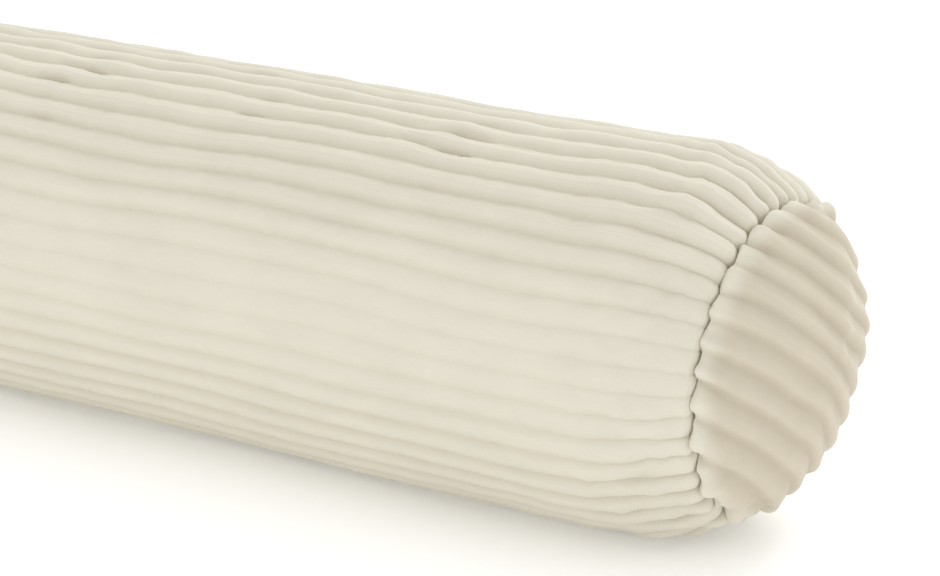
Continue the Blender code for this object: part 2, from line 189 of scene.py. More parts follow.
FLOOR_DARK, FLOOR_LIGHT = (0.955, 0.955, 0.955, 1), (0.975, 0.975, 0.975, 1)
WHITE = (1, 1, 1, 1)
TOP_CREST_PAINTED_HIGHLIGHT = 0.07        # painted highlight: how much lighter the crests on top are painted
SHEEN = 0.7
SHEEN_SPREAD = 0.2
SHEEN_TINT = (1, 0.98, 0.92, 1)
SKY = 1.0
FLOOR_GLOW = 0.18
KEY_WATTS = 5
RIM_WATTS = 24


# ---------------------------------------------------------------- camera

def add_camera():
    """A long lens at the pillow's right end, placed by where that end's seam lies in its view."""
    azimuth, elevation = radians(31.6), radians(19.2)
    seam_right, seam_up, seam_ahead = 0.1452, -0.0343, 1.452
    right = Vector((cos(azimuth), sin(azimuth), 0))
    back = Vector((sin(azimuth) * cos(elevation), -cos(azimuth) * cos(elevation), sin(elevation)))
    up = back.cross(right)
    camera = bpy.data.objects.new("camera", bpy.data.cameras.new("camera"))
    camera.data.lens = 114.9
    camera.data.sensor_width = 36.0
    camera.location = Vector((SEAM_X, 0, AXIS_Z)) - right * seam_right - up * seam_up + back * seam_ahead
    camera.rotation_euler = back.to_track_quat("Z", "Y").to_euler()
    bpy.context.scene.collection.objects.link(camera)
    bpy.context.scene.camera = camera


# ---------------------------------------------------------------- surface tools

def smoothstep(low, high, value):
    """0 up to low, 1 from high, and a cubic without corners between them; low may be the larger."""
    share = np.clip((value - low) / (high - low), 0, 1)
    return share * share * (3 - 2 * share)


def swell(name, x, angle):
    """Waves over the pillow: a sum of cosines with seeded phases, whole numbers of waves around and
    wavelengths along it in metres, scaled to stay mostly within its height either way."""
    height, count, along, around, seed = WAVES[name]
    draw = np.random.default_rng(seed)
    total = np.zeros(np.broadcast(x, angle).shape)
    for _ in range(count):
        waves = draw.integers(around[0], around[1] + 1) * draw.choice((-1, 1))
        turns = 2 * pi / draw.uniform(*along) * draw.choice((-1, 1))
        total = total + np.cos(turns * x + waves * angle + draw.uniform(0, 2 * pi))
    return height * (total / sqrt(count))


def bell(angle, middle, width):
    """A bell round the tube: 1 at its middle angle, and 1/e a width either side."""
    return np.exp(-((angle % (2 * pi) - middle) / width) ** 2)


def grid_normals(points, centre):
    """Unit normals of a grid that wraps round in its columns, from the cross product of its two
    directions, turned away from the centre."""
    along = np.gradient(points, axis=0)
    around = np.roll(points, -1, axis=1) - np.roll(points, 1, axis=1)
    normal = np.cross(around, along)
    normal = normal / np.maximum(np.linalg.norm(normal, axis=2, keepdims=True), 1e-12)
    return normal * np.sign((normal * (points - centre)).sum())


def new_piece(name, vertices, faces, masks=None):
    """A smooth mesh object, its faces turned outwards, with a value at each vertex for every mask."""
    mesh = bpy.data.meshes.new(name)
    mesh.from_pydata(np.asarray(vertices).tolist(), [], faces)
    for key, value in (masks or {}).items():
        mesh.attributes.new(key, "FLOAT", "POINT").data.foreach_set("value", value.astype(np.float32))
    bm = bmesh.new()
    bm.from_mesh(mesh)
    bmesh.ops.recalc_face_normals(bm, faces=bm.faces)
    bm.to_mesh(mesh)
    bm.free()
    mesh.shade_smooth()
    obj = bpy.data.objects.new(name, mesh)
    bpy.context.scene.collection.objects.link(obj)
    return obj


def closed_grid(name, points, poles, masks=None):
    """A piece made of quads over a grid (rows, columns, 3) that wraps round in its columns, closed by a
    fan of narrow quads to a tiny ring at a pole beyond its first row and another beyond its last."""
    columns = points.shape[1]
    near = 0.98
    rings = [row * (1 - near) + np.asarray(pole) * near
             for row, pole in zip((points[0], points[-1]), poles)]
    vertices = np.vstack([rings[0], points.reshape(-1, 3), rings[1]])
    index = np.arange(len(vertices)).reshape(-1, columns)
    beside = np.roll(index, -1, axis=1)
    quads = np.stack([index[:-1], beside[:-1], beside[1:], index[1:]], axis=-1).reshape(-1, 4)
    faces = quads.tolist() + [index[0].tolist(), index[-1].tolist()]
    values = {key: np.vstack([mask[:1], mask, mask[-1:]]).ravel() for key, mask in (masks or {}).items()}
    return new_piece(name, vertices, faces, values)


def cubic_weights(share):
    """Weights of four neighbours in a row, for a cubic curve that passes through the middle two."""
    square, cube = share**2, share**3
    return (square - (share + cube) / 2, 1 - 2.5 * square + 1.5 * cube,
            (share - 3 * cube) / 2 + 2 * square, (cube - square) / 2)


def sample(field, row, column):
    """Values of a coarse field between its points, which wrap round in its columns: cubics both ways."""
    rows, columns = field.shape
    low_row, low_column = np.floor(row).astype(int), np.floor(column).astype(int)
    total = np.zeros(np.broadcast(row, column).shape)
    for i, row_weight in enumerate(cubic_weights(row - low_row)):
        near = np.clip(low_row + i - 1, 0, rows - 1)
        for j, column_weight in enumerate(cubic_weights(column - low_column)):
            total += row_weight * column_weight * field[near, (low_column + j - 1) % columns]
    return total


def dress(obj, material, body="pillow"):
    """Gives a new piece its material and the body it rides on."""
    obj.data.materials.clear()
    obj.data.materials.append(material)
    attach(obj, body)


# ---------------------------------------------------------------- the stuffed shape

def tube_radius(x, angle=0.0):
    """Radius of the stuffed tube at x: straight, and then a drop that grows with a power of the way to
    the seam. The shoulders are fuller on top, where nothing presses on them."""
    share = np.clip((np.abs(x) - SEAM_X + SHOULDER) / SHOULDER, 0, 1)
    return RADIUS - (RADIUS - SEAM_RADIUS) * share ** (SHOULDER_POWER + TOP_FULLNESS * np.sin(angle))


def dome(turn):
    """How far out and how wide an end is at a part of a quarter turn: sine and cosine to a power, which
    make an ellipse when the power is 1."""
    return DOME * np.sin(turn) ** (2 / DOME_POWER), SEAM_RADIUS * np.cos(turn) ** (2 / DOME_POWER)


def round_axis(x, radius, angle):
    """Points at a distance along the axis, a radius from it and an angle round it."""
    return np.stack([x, radius * np.cos(angle), radius * np.sin(angle)], axis=-1)


def turn_in(points, fold, angle):
    """Moves the points towards the axis by how deep they are folded in."""
    points[..., 1] -= fold * np.cos(angle)
    points[..., 2] -= fold * np.sin(angle)
    return points


def lean(points):
    """The end seams aren't a flat cut: the cloth reaches further out at the upper back, which fades
    along the tube."""
    fade = smoothstep(SEAM_X - 2 * SHOULDER, SEAM_X, np.abs(points[..., 0]))
    points[..., 0] += np.sign(points[..., 0]) * fade * SEAM_LEAN * (points[..., 1] + points[..., 2])
    return points


def rest_on_floor(points):
    """Lifts the points to the axis's height and flattens what would reach under the floor, with a soft
    edge to the flat: heights below the edge die away towards it as a logistic curve's foot does."""
    height = points[..., 2] + AXIS_Z
    points[..., 2] = FLOOR_EDGE * np.logaddexp(0, height / FLOOR_EDGE)
    return points


def axis_poles(points):
    """Places on the axis level with a grid's first and last rows."""
    return [(row[:, 0].mean(), 0, AXIS_Z) for row in (points[0], points[-1])]


class Blown:
    """How far the cover bulges and puckers: a slack copy of it, held at its end seams, blown up as cloth.
    What is left once each ring's own growth is taken off is kept as a field over rings and columns."""

    columns = 120
    dome_steps = 9
    shoulder_steps = 14
    middle_steps = 66

    def __init__(self):
        straight = SEAM_X - SHOULDER
        middle = np.linspace(-straight, straight, self.middle_steps)
        shoulder = straight + SHOULDER * np.linspace(0, 1, self.shoulder_steps)[1:]
        self.tube_x = np.concatenate([-shoulder[::-1], middle, shoulder])
        turn = np.linspace(0, pi / 2, self.dome_steps + 1)[1:-1]
        out, wide = dome(turn)
        x = np.concatenate([(-SEAM_X - out)[::-1], self.tube_x, SEAM_X + out])
        radius = np.concatenate([wide[::-1], tube_radius(self.tube_x), wide])
        self.field = np.zeros((len(x), self.columns))
        self.blow(x, radius)

    def blow(self, x, radius):
        """Fills the field: the cloth's movement along its own normals, less each ring's mean, clipped."""
        x, angle = np.meshgrid(x, np.arange(self.columns) * 2 * pi / self.columns, indexing="ij")
        at_seam = np.abs(np.abs(x) - SEAM_X) < SEAM_SLACK / 2
        crumple = np.where(at_seam, 0, swell("slack cloth", x, angle))
        grid = round_axis(x, radius[:, None] + crumple, angle)
        piece = closed_grid("slack cover", grid, ((-TIP_X, 0, 0), (TIP_X, 0, 0)))
        held = piece.vertex_groups.new(name="end seams")
        held.add((np.flatnonzero(at_seam) + self.columns).tolist(), 1.0, "REPLACE")
        cloth = piece.modifiers.new("blown up", "CLOTH").settings
        cloth.quality = BLOW_QUALITY
        cloth.bending_stiffness = BLOW_STIFFNESS
        cloth.vertex_group_mass = "end seams"
        cloth.use_pressure = True
        cloth.uniform_pressure_force = BLOW_PRESSURE
        cloth.shrink_min = cloth.shrink_max = -BLOW_SLACK
        cloth.effector_weights.gravity = 0
        for step in range(1, BLOW_FRAMES + 1):
            bpy.context.scene.frame_set(step)
        result = piece.evaluated_get(bpy.context.evaluated_depsgraph_get()).data
        moved = np.empty(len(result.vertices) * 3, np.float32)
        result.vertices.foreach_get("co", moved)
        moved = moved.reshape(-1, 3)[self.columns:-self.columns].reshape(grid.shape)
        out = ((moved - grid) * grid_normals(grid, (0, 0, 0))).sum(axis=2) + crumple
        bpy.context.scene.frame_set(1)
        bpy.data.objects.remove(piece)
        self.field = np.clip(out - out.mean(axis=1, keepdims=True), -PUCKER, PUCKER)

    def column(self, angle):
        """The field's column at an angle."""
        return angle * self.columns / (2 * pi)

    def tube(self, x, angle):
        """The field at places on the tube."""
        row = np.interp(x, self.tube_x, np.arange(len(self.tube_x))) + self.dome_steps - 1
        return sample(self.field, row, self.column(angle))

    def end(self, side, turn, angle):
        """The field at places on an end, by how much of a quarter turn they are from its seam."""
        steps = turn / (pi / 2) * self.dome_steps
        last = len(self.field) - self.dome_steps
        row = last + steps if side > 0 else self.dome_steps - 1 - steps
        return sample(self.field, row, self.column(angle))


# ---------------------------------------------------------------- ribs

def rib_profile(place, softness):
    """Height of a rib, 0 in its valley and 1 on its crest, for a place across it from -0.5 to 0.5: a
    cosine hump to a power, which makes the valley narrower the smaller it is."""
    return (0.5 + 0.5 * np.cos(2 * pi * place)) ** softness


def zip_rib():
    """Places across the strip that holds the zip: close together at the edges of its opening."""
    edge = OPENING / RIB_PITCH
    half = np.array([0.05, 0.2, edge - 0.04, edge - 0.004, edge + 0.004, edge + 0.025, edge + 0.055])
    return np.concatenate([[-0.5], -half[::-1], [0.0], half])


def zip_strip(place, x):
    """Height of the strip that holds the zip, in rib heights above a valley: a parabola for a folded lip
    either side of a deep channel, and past the zip one for two folds that meet in a groove."""
    edge = OPENING / RIB_PITCH
    beside = np.abs(place)
    lip = LIP_HEIGHT * (1 - ((beside - edge) / (0.5 - edge)) ** 2)
    channel = (ZIP_FLOOR - RADIUS) / RIB_HEIGHT + 1
    opened = np.where(beside > edge, lip, channel)
    groove_width, groove_depth = FOLD_GROOVE
    groove = groove_depth * smoothstep(groove_width, 0.0, beside)
    closed = FOLD_HEIGHT * (1 - (beside / 0.5) ** 2) - groove
    return np.where(np.abs(x) < OPENING_HALF, opened, closed)


# ---------------------------------------------------------------- tube of the cover

def tube_stations():
    """Places along the tube from the left seam to the right, close together near the seams and at the
    ends of the zip's opening."""
    straight = SEAM_X - SHOULDER
    middle = np.linspace(-straight, straight, TUBE_STEPS)
    share = np.sin(np.linspace(0, pi / 2, SHOULDER_STEPS))[1:]
    shoulder = straight + (SHOULDER - SEAM_SLACK) * share
    corners = OPENING_HALF + np.array([-OPENING_CORNER, OPENING_CORNER])
    return np.sort(np.concatenate([-shoulder, middle, shoulder, corners, -corners]))


def tube_ribs():
    """The rib of every column, counted round from the zip, and the column's place across that rib."""
    ordinary = 0.5 * np.sin(np.linspace(-pi / 2, pi / 2, RIB_STEPS, endpoint=False))
    beside_zip = zip_rib()
    rib = np.concatenate([np.zeros(len(beside_zip)), np.repeat(np.arange(1, RIBS), RIB_STEPS)])
    return rib, np.concatenate([beside_zip, np.tile(ordinary, RIBS - 1)])


def from_rib_to_rib(draw, columns):
    """A share of each rib's own, drawn evenly from 0 to 1 and blended to the next rib's."""
    own = draw.uniform(0.0, 1.0, RIBS + 1)
    own[-1] = own[0]
    return np.interp(columns + 0.5, np.arange(RIBS + 1), own)[None, :]


def tube_bulge(x, angle, turn, near_seam, blown):
    """How far the stuffed tube is pushed out: slow waves, lumps that are higher on top, the blown cover's
    bulges, crumpled cloth low down by the seams, and the shoulders' dents."""
    top = smoothstep(-0.1, 0.9, np.sin(angle))
    low = smoothstep(-0.5, -0.9, np.sin(turn))
    along, at_seams = BLOWN_SHARE
    bulge = swell("bulge", x, turn) + (1 + 4 * top) * swell("lumps", x, turn)
    bulge = bulge + (along + at_seams * near_seam) * blown.tube(x, turn) + folds(x, turn)
    return bulge + near_seam * low * swell("crumple", x, turn)


def rib_depth(x, angle, turn, taut, own, loose):
    """Depth of the tube's ribs: flatter where the front is taut, uneven along them, with gaps between
    some of the top ones, and drawn deeper towards the seams, but not in front."""
    near_seam = smoothstep(SHOULDER, 0.0, SEAM_X - np.abs(x))
    front = bell(turn, SEAM_FRONT, SEAM_FRONT_WIDTH)
    close = smoothstep(*SEAM_TAUT_REACH, SEAM_X - np.abs(x))
    gaps = smoothstep(*GAP_HEIGHT, np.sin(angle)) * (1 - 0.8 * near_seam)
    gaps = gaps * smoothstep(1.0, 2.0, swell("gaps", x, turn))
    uneven = swell("rib depth", x, turn) + GAP_DEPTH * gaps
    every, some = DRAWN_DEEPER
    deepen = 1 + near_seam * (every + some * own) * loose * (1 - front)
    return RIB_HEIGHT * taut * (1 + uneven * loose) * deepen * (1 - SEAM_TAUT * close * front)


def cover_tube(blown):
    """The ribbed tube: a stuffed shape with its bulges and folds, then each rib raised along the normal,
    then the last few millimetres turned in to the end seams."""
    rib, place = tube_ribs()
    columns = rib + place
    x, angle = np.meshgrid(tube_stations(), ZIP_ANGLE + 2 * pi * columns / RIBS, indexing="ij")
    loose = smoothstep(*LOOSE_FROM_ZIP, np.minimum(columns, RIBS - columns))[None, :]
    to_seam = SEAM_X - np.abs(x)
    near_seam = smoothstep(SHOULDER, 0.0, to_seam)
    wander = swell("slow wander", x, angle) + swell("fine wander", x, angle)
    turn = angle + 2 * pi / RIBS * wander * loose
    bulge = tube_bulge(x, angle, turn, near_seam, blown)
    base = round_axis(x, tube_radius(x, turn) + bulge * loose, turn)

    draw = np.random.default_rng(OWN_DEPTH_SEED)
    own_depth, own_start = from_rib_to_rib(draw, columns), from_rib_to_rib(draw, columns)
    profile = rib_profile(place[None, :], RIB_ROUNDING - SEAM_ROUNDING * near_seam)
    height = np.where(rib[None, :] == 0, zip_strip(place[None, :], x), profile)
    taut = 1 - FRONT_TAUT * bell(turn, FRONT, FRONT_WIDTH) * (1 - 0.2 * near_seam)
    depth = rib_depth(x, angle, turn, taut, own_depth, loose)
    points = base + grid_normals(base, (0, 0, 0)) * (depth * (height - 1))[..., None]

    least, rest, full = TUBE_CREASE
    start = full * (least + rest * own_start)
    least, rest, full = TUBE_TUCK
    fold = full * (least + rest * own_depth) * smoothstep(1.0, 0.0, to_seam / start) ** 2
    points = rest_on_floor(lean(turn_in(points, fold, turn)))
    # The rib mask paints shade into the valleys, less where the front is taut, and a painted highlight on
    # the top crests where it passes 1.
    painted_highlight = TOP_CREST_PAINTED_HIGHLIGHT * smoothstep(0.5, 1.0, np.sin(turn)) * smoothstep(0.75, 1.0, height)
    masks = {"edge": np.ones(x.shape), "rib": 1 - taut * (1 - np.clip(height, 0, 1)) + painted_highlight}
    return closed_grid("corduroy_tube", points, axis_poles(points), masks)


def folds(x, angle):
    """Soft dents where the cloth of a shoulder is pulled in to its seam: each is a bell along and around
    the tube, listed as distance from the seam, angle round it, depth, and its two half widths."""
    total = np.zeros(x.shape)
    for side in (1, -1):
        for back, middle, depth, along, around in SHOULDER_FOLDS:
            reach = ((side * x - SEAM_X + back) / along) ** 2
            apart = (angle - radians(middle) + pi) % (2 * pi) - pi
            total -= depth * np.exp(-reach - (apart / radians(around)) ** 2)
    return total


# ---------------------------------------------------------------- ends of the cover

def end_grid(rows, columns):
    """Parts of a quarter turn from an end's seam to its tip, and angles round it."""
    return np.meshgrid(np.linspace(0, pi / 2, rows, endpoint=False),
                       np.linspace(0, 2 * pi, columns, endpoint=False), indexing="ij")


def end_ribs(base, rim):
    """Straight ribs across an end that wander a little: their profile, which leans towards the valley
    below, and their depth, fainter in one place and uneven at the gathered rim."""
    y, z = base[..., 1], base[..., 2]
    across = y * sin(RIB_SLOPE) + z * cos(RIB_SLOPE)
    beside = y * cos(RIB_SLOPE) - z * sin(RIB_SLOPE)
    wander = 0.0009 * np.sin(beside / 0.021 + 3.0 * np.sin(across / 0.037))
    wander = wander + 0.0005 * np.sin(beside / 0.0083 + across / 0.011)
    count = (across + wander) / END_PITCH + END_SHIFT
    leaning = count + RIB_LEAN * (1 + np.cos(2 * pi * count))
    own = 0.5 + 0.5 * np.sin(2.4 * count + 1.0)
    calm_y, calm_z = CALM_PLACE
    calm = 1 - 0.5 * np.exp(-((y - calm_y) / CALM_WIDTH) ** 2 - ((z - calm_z) / CALM_WIDTH) ** 2)
    calm = calm * (1 - 0.2 * smoothstep(0.0, 0.05, y))
    profile = rib_profile(leaning, END_ROUNDING - SEAM_ROUNDING * rim)
    return profile, RIB_HEIGHT * calm * (1.0 + rim * (0.3 + 0.9 * own))


def cover_end(name, side, blown):
    """A dome over an end, with straight ribs across it that are parallel seen along the pillow, and
    small tufts where its edge is gathered in to the seam."""
    turn, angle = end_grid(END_ROWS, END_COLUMNS)
    rise, radius = dome(turn)
    rim = smoothstep(RIM, 0.0, np.hypot(rise, SEAM_RADIUS - radius))
    rise = rise + np.sin(2 * turn) ** 2 * swell("end rise", 0.0, angle)
    radius = radius + smoothstep(0.9, 0.0, turn) * swell("end edge", 0.0, angle)
    puff = BLOWN_END_SHARE * blown.end(side, turn, angle) * smoothstep(0.7, 0.1, turn)
    base = round_axis(rise, radius, angle)
    normal = grid_normals(base, (-DOME, 0, 0))
    base = base + normal * puff[..., None]

    profile, depth = end_ribs(base, rim)
    low = smoothstep(-0.5, -0.9, np.sin(angle))
    tuft = rim * (swell("end tufts", 0.0, angle) + low * swell("end crumple", rise, angle))
    points = base + normal * (depth * (profile - 1) + tuft)[..., None]

    from_seam = np.hypot(rise, SEAM_RADIUS - radius)
    least, rest, full = END_CREASE
    reach = full * (least + rest * swell("end crease", 0.0, angle) ** 2)
    least, rest, full = END_TUCK
    tuck = full * (least + rest * smoothstep(-1.0, 1.0, swell("end tuck", 0.0, angle)))
    points = turn_in(points, tuck * smoothstep(1.0, 0.0, from_seam / reach) ** 2, angle)
    points[..., 0] = side * (points[..., 0] + SEAM_X + SEAM_SLACK)
    points = rest_on_floor(lean(points))
    # rib mask: painted shade in the valleys; edge mask: a painted lit strip by the seam, in the tube's
    # lighter colours
    masks = {"rib": profile, "edge": smoothstep(*PAINTED_LIT_STRIP, from_seam)}
    return closed_grid(name, points, axis_poles(points), masks)


# ---------------------------------------------------------------- inner pillow

def inside_tube(lumps, inset):
    """A plain stuffed tube, inset from the cover and more so by its seams, with small lumps, cut flat
    under the zip."""
    x, angle = np.meshgrid(np.linspace(-1, 1, INSIDE_ROWS) * (SEAM_X - inset),
                           np.arange(INSIDE_COLUMNS) * 2 * pi / INSIDE_COLUMNS, indexing="ij")
    deeper = 1 + 0.8 * smoothstep(SHOULDER, 0.0, SEAM_X - np.abs(x))
    points = round_axis(x, tube_radius(x, angle) - inset * deeper + swell(lumps, x, angle), angle)
    beyond = np.maximum(points @ OUT - (ZIP_FLOOR - inset / 4), 0)
    points = points - beyond[..., None] * OUT
    points[..., 2] += inset / 2
    points = rest_on_floor(lean(points))
    points[..., 2] += 0.0002 + inset / 10
    return points


def inside_end(side, lumps, inset):
    """A plain dome, smaller than the cover's end all over, with small lumps."""
    turn, angle = end_grid(INSIDE_END_ROWS, INSIDE_COLUMNS)
    rise, radius = dome(turn)
    scale = 1 - inset / SEAM_RADIUS
    lump = swell(lumps, 0.0, angle) * np.sin(2 * turn)
    points = lean(round_axis(side * (SEAM_X - inset / 2 + rise * scale + lump), radius * scale, angle))
    points[..., 2] += AXIS_Z
    return points


def closed_inside(name, points):
    """A piece closed at the middles of its first and last rings."""
    return closed_grid(name, points, [row.mean(axis=0) for row in (points[0], points[-1])])


# ---------------------------------------------------------------- zip

def from_zip(along, down, out):
    """Points given along the pillow, down the tape and out from the axis."""
    along, down, out = np.broadcast_arrays(along, down, out)
    return np.stack([along, down * DOWN[1] + out * OUT[1], AXIS_Z + down * DOWN[2] + out * OUT[2]], axis=-1)


def zip_box(node):
    """Lowest and highest corners of a CAD node along the pillow, down the tape and out from the axis."""
    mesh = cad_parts[node].data
    points = np.empty(len(mesh.vertices) * 3, np.float32)
    mesh.vertices.foreach_get("co", points)
    points = points.reshape(-1, 3) - (0, 0, AXIS_Z)
    local = np.stack([points[:, 0], points @ DOWN, points @ OUT], axis=-1)
    return local.min(axis=0), local.max(axis=0)


def rings_along(path, radius, sides):
    """A round filament: rings of points square to a path. The rings' first direction is the pillow's own,
    less what lies along the path."""
    tangent = np.gradient(path, axis=-2)
    tangent = tangent / np.linalg.norm(tangent, axis=-1, keepdims=True)
    first = np.array((1.0, 0, 0)) - tangent[..., :1] * tangent
    first = first / np.linalg.norm(first, axis=-1, keepdims=True)
    second = np.cross(tangent, first)
    turn = np.arange(sides) * 2 * pi / sides
    ring = first[..., None, :] * np.cos(turn)[:, None] + second[..., None, :] * np.sin(turn)[:, None]
    return path[..., None, :] + radius[..., None, None] * ring


def filaments(name, points):
    """A piece made of many filaments at once, from an array (filaments, rings, sides, 3)."""
    count, rings, sides = points.shape[:3]
    index = np.arange(count * rings * sides).reshape(count, rings, sides)
    beside = np.roll(index, -1, axis=2)
    walls = np.stack([index[:, :-1], beside[:, :-1], beside[:, 1:], index[:, 1:]], axis=-1).reshape(-1, 4)
    caps = np.concatenate([index[:, 0, ::-1], index[:, -1]])
    return new_piece(name, points.reshape(-1, 3), walls.tolist() + caps.tolist())


def zip_coil(name, node, side):
    """One side of the zip's teeth: a filament wound along the tape, a flattened helix whose heads reach
    a little past the middle, half a turn out of step with the other side's."""
    low, high = zip_box(node)
    turns = int((high[0] - low[0]) / COIL_PITCH)
    step = np.arange(turns * COIL_STEPS + 1) / COIL_STEPS
    turn = 2 * pi * (step + (0.5 if side > 0 else 0.0))
    wire = COIL_WIRE / 2
    outer = max(abs(low[1]), abs(high[1])) - wire
    middle, half = (outer - COIL_HEAD) / 2, (outer + COIL_HEAD) / 2
    flat = np.sign(np.cos(turn)) * np.abs(np.cos(turn)) ** COIL_FLATNESS
    down = side * (middle + half * flat)
    out = (low[2] + high[2]) / 2 + ((high[2] - low[2]) / 2 - wire) * np.sin(turn)
    along = low[0] + (high[0] - low[0]) * step / turns
    path = from_zip(along, down, out)
    swollen = wire * (1 + COIL_SWELLING * smoothstep(-0.6, -1.0, flat))
    return filaments(name, rings_along(path, swollen, COIL_SIDES)[None])


def stitches(name, starts, ends):
    """Rows of stitches: each a short thread, thick in its middle and thin where it dives into the cloth."""
    share = np.linspace(0, 1, STITCH_RINGS)
    path = starts[:, None, :] + (ends - starts)[:, None, :] * share[:, None]
    lift = np.sin(pi * share)
    path = path + (OUT * STITCH_THICK * 0.4)[None, None, :] * lift[:, None]
    direction = ends - starts
    direction = direction / np.linalg.norm(direction, axis=1, keepdims=True)
    second = np.cross(direction, OUT)
    turn = np.arange(STITCH_SIDES) * 2 * pi / STITCH_SIDES
    ring = OUT[None, :] * np.cos(turn)[None, :, None] + second[:, None, :] * np.sin(turn)[None, :, None]
    radius = STITCH_THICK / 2 * (0.35 + 0.65 * lift)
    points = path[:, :, None, :] + radius[None, :, None, None] * ring[:, None, :, :]
    return filaments(name, points)


def zip_stitching():
    """Two rows of topstitching in the valleys beside the zip, and a bar tack across each end."""
    starts, ends = [], []
    valley = RADIUS - RIB_HEIGHT + STITCH_THICK * 0.3
    along = np.arange(-OPENING_HALF, OPENING_HALF, STITCH_PITCH)
    for side in (1, -1):
        row = side * RIB_PITCH / 2
        out = sqrt(valley**2 - row**2)
        starts.append(from_zip(along, row, out))
        ends.append(from_zip(along + STITCH_PITCH * STITCH_LENGTH, row, out))
        tack = np.linspace(-OPENING, OPENING, TACK_THREADS)
        x = side * (OPENING_HALF + 0.0008)
        height = RADIUS - 0.0008
        starts.append(from_zip(x, tack, height))
        ends.append(from_zip(x + side * TACK_LENGTH, tack + 0.0003, height))
    return stitches("zip_topstitching", np.concatenate(starts), np.concatenate(ends))


def rounded_copy(name, node, width):
    """A CAD node's own shape with its edges rounded."""
    bm = bmesh.new()
    bm.from_mesh(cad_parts[node].data)
    bmesh.ops.remove_doubles(bm, verts=bm.verts, dist=1e-6)
    bmesh.ops.dissolve_limit(bm, angle_limit=radians(1), verts=bm.verts, edges=bm.edges)
    mesh = bpy.data.meshes.new(name)
    bm.to_mesh(mesh)
    bm.free()
    mesh.shade_smooth()
    obj = bpy.data.objects.new(name, mesh)
    bpy.context.scene.collection.objects.link(obj)
    bevel = obj.modifiers.new("rounded edges", "BEVEL")
    bevel.width = width
    bevel.segments = 2
    bevel.limit_method = "ANGLE"
    bevel.harden_normals = True
    return obj


# ---------------------------------------------------------------- materials

class Nodes:
    """Short ways to add and join the nodes of one node tree."""

    def __init__(self, tree):
        self.tree = tree

    def add(self, kind, **settings):
        node = self.tree.nodes.new("ShaderNode" + kind)
        for key, value in settings.items():
            setattr(node, key, value)
        return node

    def put(self, socket, value):
        if isinstance(value, bpy.types.NodeSocket):
            self.tree.links.new(value, socket)
        else:
            socket.default_value = value

    def math(self, operation, first, second=0.0):
        node = self.add("Math", operation=operation)
        self.put(node.inputs[0], first)
        self.put(node.inputs[1], second)
        return node.outputs[0]

    def noise(self, vector, scale, detail, roughness=0.5):
        node = self.add("TexNoise")
        self.put(node.inputs["Vector"], vector)
        node.inputs["Scale"].default_value = scale
        node.inputs["Detail"].default_value = detail
        node.inputs["Roughness"].default_value = roughness
        return node.outputs["Fac"]

    def stretch(self, vector, scale, turn=(0, 0, 0)):
        node = self.add("Mapping")
        self.put(node.inputs["Vector"], vector)
        node.inputs["Scale"].default_value = scale
        node.inputs["Rotation"].default_value = turn
        return node.outputs["Vector"]

    def ranged(self, value, low, high, to_low, to_high):
        node = self.add("MapRange")
        for socket, number in zip(node.inputs, (value, low, high, to_low, to_high)):
            self.put(socket, number)
        return node.outputs["Result"]

    def mix(self, share, first, second):
        node = self.add("Mix", data_type="RGBA")
        self.put(node.inputs[0], share)
        self.put(node.inputs[6], first)
        self.put(node.inputs[7], second)
        return node.outputs[2]

    def brighten(self, colour, factor):
        node = self.add("VectorMath", operation="SCALE")
        self.put(node.inputs[0], colour)
        self.put(node.inputs["Scale"], factor)
        return node.outputs[0]

    def place(self, group, **inputs):
        node = self.add("Group", node_tree=group)
        for key, value in inputs.items():
            self.put(node.inputs[key.replace("_", " ")], value)
        return node.outputs


def new_group(name, inputs, outputs):
    """An empty node group with named sockets, and the ends that its nodes join to."""
    tree = bpy.data.node_groups.new(name, "ShaderNodeTree")
    for direction, sockets in (("INPUT", inputs), ("OUTPUT", outputs)):
        for label, kind in sockets.items():
            tree.interface.new_socket(label, in_out=direction, socket_type="NodeSocket" + kind)
    given = tree.nodes.new("NodeGroupInput").outputs
    result = tree.nodes.new("NodeGroupOutput").inputs
    return Nodes(tree), given, result


def pile_group():
    """Cut pile: painted shade in the valleys, darker than the crests, and a painted highlight where the
    rib mask passes 1; patches where the nap lies over, and the grain of the fibres' tips."""
    n, given, result = new_group(
        "cut pile", {"Vector": "Vector", "Rib": "Float", "Crest": "Color", "Valley": "Color"},
        {"Colour": "Color", "Roughness": "Float", "Height": "Float"})
    lit = n.ranged(given["Rib"], 0.0, 0.8, 0.0, 1.0)
    patches = n.noise(given["Vector"], 16, 3, 0.6)
    brushed = n.noise(n.stretch(given["Vector"], (0.35, 1, 1)), 120, 3, 0.55)
    tips = n.noise(given["Vector"], 1500, 2, 0.6)
    # painted shade: the valleys mixed towards the darker colour
    colour = n.mix(lit, given["Valley"], given["Crest"])
    shade = n.math("ADD", n.ranged(patches, 0.3, 0.7, -0.02, 0.02),
                   n.ranged(brushed, 0.3, 0.7, -0.016, 0.016))
    shade = n.math("ADD", shade, n.ranged(tips, 0.3, 0.7, -0.02, 0.02))
    # painted highlight: rib mask values above 1 brighten the top crests; the rest is the pile's own uneven
    # tone
    worn = n.math("ADD", n.math("MAXIMUM", given["Rib"], 1.0), shade)
    n.put(result["Colour"], n.brighten(colour, worn))
    n.put(result["Roughness"], n.ranged(brushed, 0.3, 0.7, 0.90, 1.0))
    height = n.math("ADD", n.math("MULTIPLY", tips, 0.5), n.math("MULTIPLY", brushed, 0.9))
    n.put(result["Height"], height)
    return n.tree


